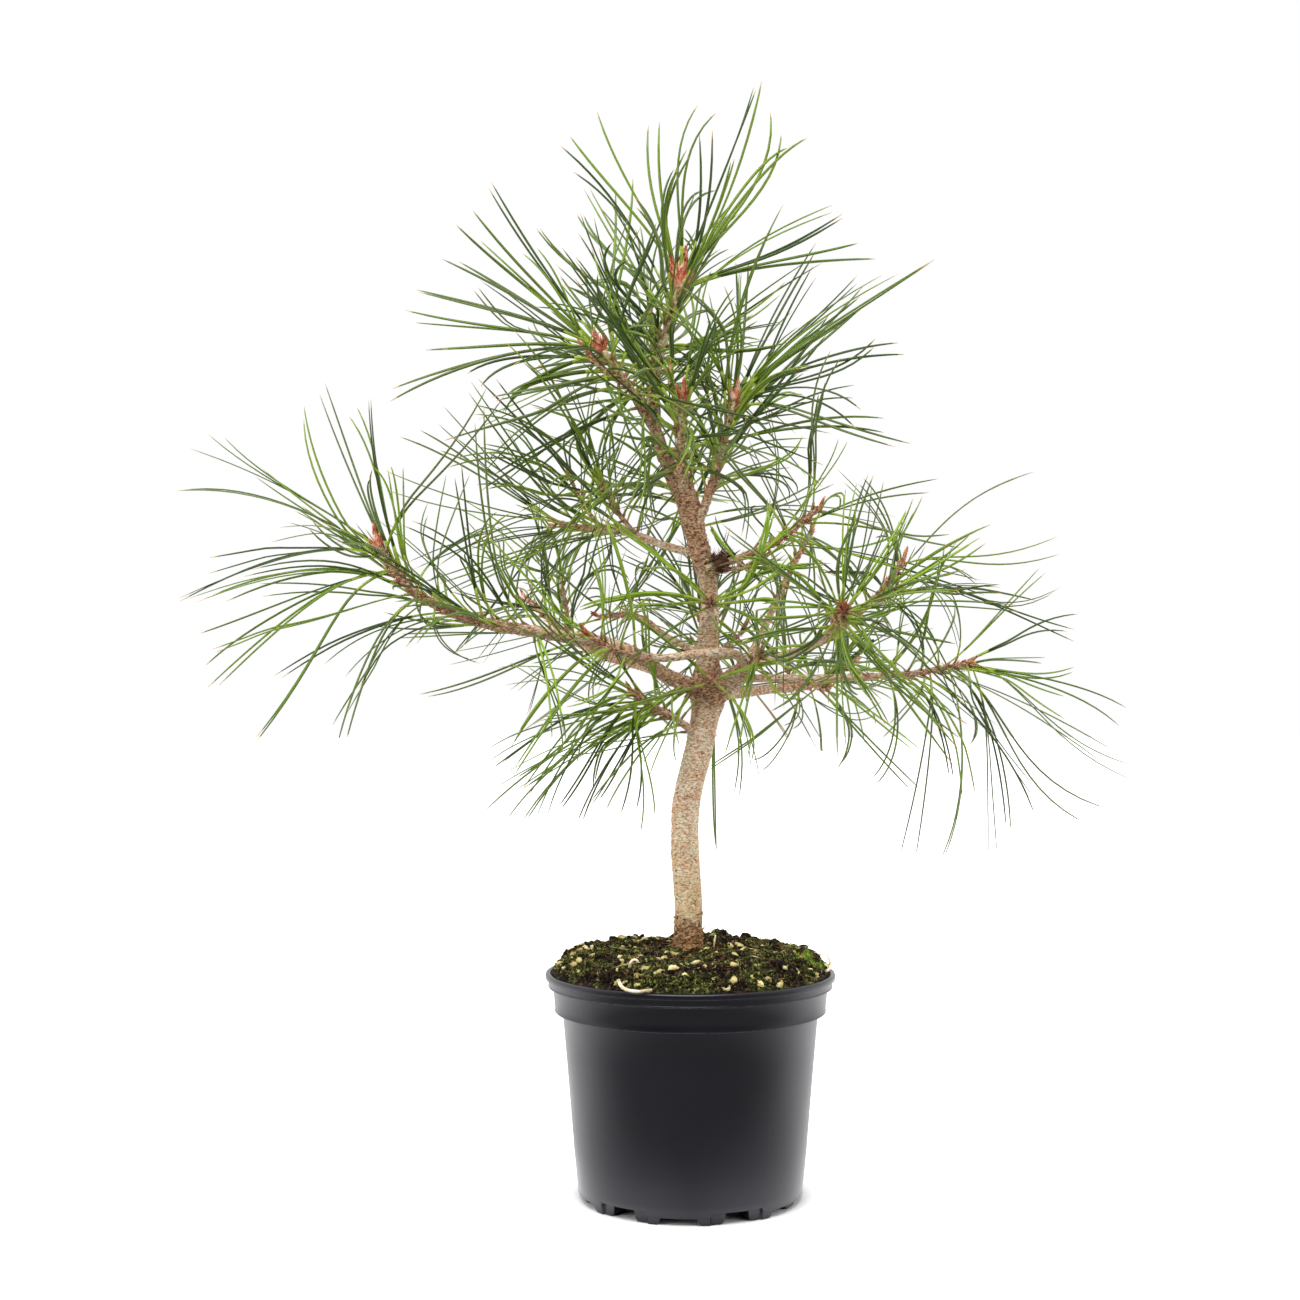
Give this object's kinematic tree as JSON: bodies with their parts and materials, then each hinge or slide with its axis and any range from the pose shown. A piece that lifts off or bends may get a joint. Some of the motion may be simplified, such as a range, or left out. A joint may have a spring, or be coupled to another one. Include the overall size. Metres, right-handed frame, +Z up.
{
  "type": "potted pine",
  "caption": "Young pine with a curved trunk, spreading boughs and long needles, in a round plastic nursery pot with soil.",
  "frame": {"origin": "on the ground under the middle of the plant's outline; the pot's axis stands a little to the right of it and in front of it", "axes": "+Z up along the plant's height, -Y towards the front as pictured, +X to the right"},
  "size_m": [0.6106, 0.446, 0.732],
  "materials": {
    "pot_plastic": "satin black",
    "soil": "crumbly dark peat",
    "bark": "rough tan bark",
    "needles": "satin green",
    "buds": "scaly, slightly resinous",
    "moss": "soft moss",
    "chips": "dry bark chips and roots"
  },
  "bodies": {
    "root": {"back_high_bough": "bark", "back_left_bough": "bark", "back_low_bough": "bark", "back_right_bough": "bark", "back_upper_bough": "bark", "centre_front_bough": "bark", "knob_twig": "bark", "left_back_bough": "bark", "left_front_bough": "bark", "left_long_bough": "bark", "left_mid_bough": "bark", "left_mid_twig": "bark", "lower_left_bough": "bark", "needles_back_high": "needles", "needles_back_left": "needles", "needles_back_low": "needles", "needles_back_right": "needles", "needles_back_upper": "needles", "needles_centre_front": "needles", "needles_knob": "needles", "needles_leader": "needles", "needles_left_back": "needles", "needles_left_bough": "needles", "needles_left_front": "needles", "needles_left_mid": "needles", "needles_left_tip": "needles", "needles_left_twig": "needles", "needles_lower_left": "needles", "needles_right_bough": "needles", "needles_right_front": "needles", "needles_right_long": "needles", "needles_right_low": "needles", "needles_right_upper": "needles", "needles_trunk_front": "needles", "needles_upper_back": "needles", "needles_upper_left": "needles", "needles_upper_right": "needles", "pot": "pot_plastic", "right_front_bough": "bark", "right_knob": "bark", "right_long_bough": "bark", "right_low_bough": "bark", "right_upper_bough": "bark", "soil": "soil", "trunk": "bark", "trunk_front_twig": "bark", "upper_back_bough": "bark", "upper_left_bough": "bark", "upper_right_bough": "bark"}
  },
  "joints": []
}
